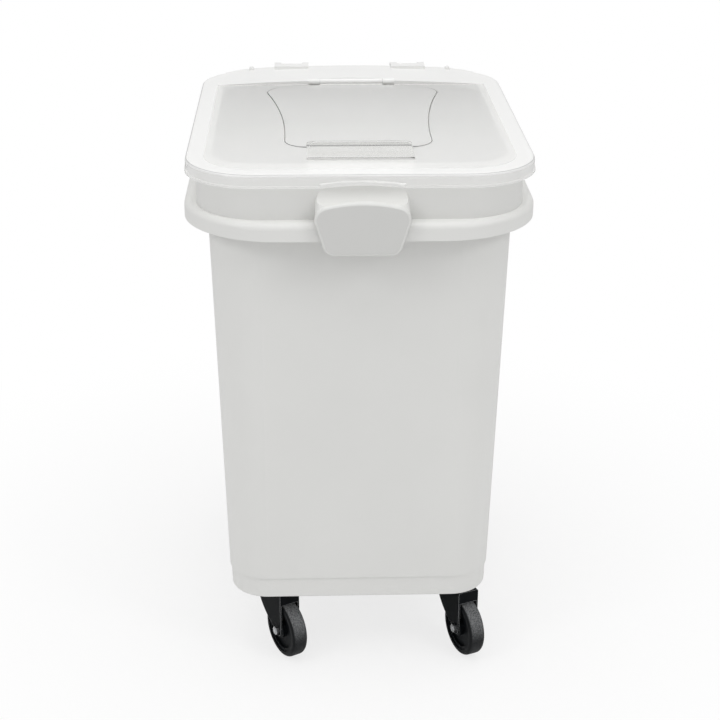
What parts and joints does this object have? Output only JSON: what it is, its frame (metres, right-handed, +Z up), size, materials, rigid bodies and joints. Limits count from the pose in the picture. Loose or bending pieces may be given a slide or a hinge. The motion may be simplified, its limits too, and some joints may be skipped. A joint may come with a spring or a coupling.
{
  "type": "ingredient bin",
  "caption": "Tall tapered white storage bin on swivel casters, with a clear hinged lid, a smaller hourglass access flap in the lid and a finger ledge at the front.",
  "frame": {"origin": "on the floor, under the middle of the bin's overall box", "axes": "+Z up, +X to the bin's right side seen from the front, -Y towards the front, where the shield plate is"},
  "size_m": [0.411, 0.547, 0.6837],
  "materials": {
    "white_plastic": "fine satin",
    "clear_plastic": "clear gloss",
    "steel": "zinc plated",
    "black_steel": "black coated",
    "black_nylon": "moulded",
    "black_rubber": "smooth tread"
  },
  "bodies": {
    "bin": {"bin_body": "white_plastic", "collar_ring": "white_plastic", "lid_hinge_pin_left": "steel", "lid_hinge_pin_right": "steel", "caster_plate_front_left": "black_steel", "plate_screws_front_left": "steel", "king_pin_front_left": "steel", "caster_plate_front_right": "black_steel", "plate_screws_front_right": "steel", "king_pin_front_right": "steel", "caster_plate_rear_left": "black_steel", "plate_screws_rear_left": "steel", "king_pin_rear_left": "steel", "caster_plate_rear_right": "black_steel", "plate_screws_rear_right": "steel", "king_pin_rear_right": "steel"},
    "lid": {"lid": "clear_plastic", "flap_hinge_pin": "steel"},
    "flap": {"access_flap": "clear_plastic", "flap_pull_tab": "clear_plastic"},
    "fork_front_left": {"fork_front_left": "black_steel", "swivel_bearing_front_left": "black_nylon", "axle_front_left": "steel", "axle_nut_front_left": "steel", "axle_bush_front_left": "steel"},
    "wheel_front_left": {"wheel_core_front_left": "black_nylon", "tyre_front_left": "black_rubber"},
    "fork_front_right": {"fork_front_right": "black_steel", "swivel_bearing_front_right": "black_nylon", "axle_front_right": "steel", "axle_nut_front_right": "steel", "axle_bush_front_right": "steel"},
    "wheel_front_right": {"wheel_core_front_right": "black_nylon", "tyre_front_right": "black_rubber"},
    "fork_rear_left": {"fork_rear_left": "black_steel", "swivel_bearing_rear_left": "black_nylon", "axle_rear_left": "steel", "axle_nut_rear_left": "steel", "axle_bush_rear_left": "steel"},
    "wheel_rear_left": {"wheel_core_rear_left": "black_nylon", "tyre_rear_left": "black_rubber"},
    "fork_rear_right": {"fork_rear_right": "black_steel", "swivel_bearing_rear_right": "black_nylon", "axle_rear_right": "steel", "axle_nut_rear_right": "steel", "axle_bush_rear_right": "steel"},
    "wheel_rear_right": {"wheel_core_rear_right": "black_nylon", "tyre_rear_right": "black_rubber"}
  },
  "joints": [
    {"name": "lid_hinge", "type": "hinge", "parent": "bin", "child": "lid", "pos_m": [0, 0.2655, 0.6624], "axis": [-1, 0, 0], "range_deg": [0, 105]},
    {"name": "flap_hinge", "type": "hinge", "parent": "lid", "child": "flap", "pos_m": [0, 0.174, 0.6644], "axis": [-1, 0, 0], "range_deg": [0, 105]},
    {"name": "swivel_front_left", "type": "hinge", "parent": "bin", "child": "fork_front_left", "pos_m": [-0.1175, -0.15, 0.0925], "axis": [0, 0, 1], "continuous": true},
    {"name": "spin_front_left", "type": "hinge", "parent": "fork_front_left", "child": "wheel_front_left", "pos_m": [-0.09288, -0.19352, 0.0375], "axis": [0.8704, 0.4924, 0], "continuous": true},
    {"name": "swivel_front_right", "type": "hinge", "parent": "bin", "child": "fork_front_right", "pos_m": [0.1175, -0.15, 0.0925], "axis": [0, 0, 1], "continuous": true},
    {"name": "spin_front_right", "type": "hinge", "parent": "fork_front_right", "child": "wheel_front_right", "pos_m": [0.13704, -0.19603, 0.0375], "axis": [0.9205, 0.3907, 0], "continuous": true},
    {"name": "swivel_rear_left", "type": "hinge", "parent": "bin", "child": "fork_rear_left", "pos_m": [-0.1175, 0.15, 0.0925], "axis": [0, 0, 1], "continuous": true},
    {"name": "spin_rear_left", "type": "hinge", "parent": "fork_rear_left", "child": "wheel_rear_left", "pos_m": [-0.09288, 0.10648, 0.0375], "axis": [0.8704, 0.4924, 0], "continuous": true},
    {"name": "swivel_rear_right", "type": "hinge", "parent": "bin", "child": "fork_rear_right", "pos_m": [0.1175, 0.15, 0.0925], "axis": [0, 0, 1], "continuous": true},
    {"name": "spin_rear_right", "type": "hinge", "parent": "fork_rear_right", "child": "wheel_rear_right", "pos_m": [0.13704, 0.10397, 0.0375], "axis": [0.9205, 0.3907, 0], "continuous": true}
  ]
}
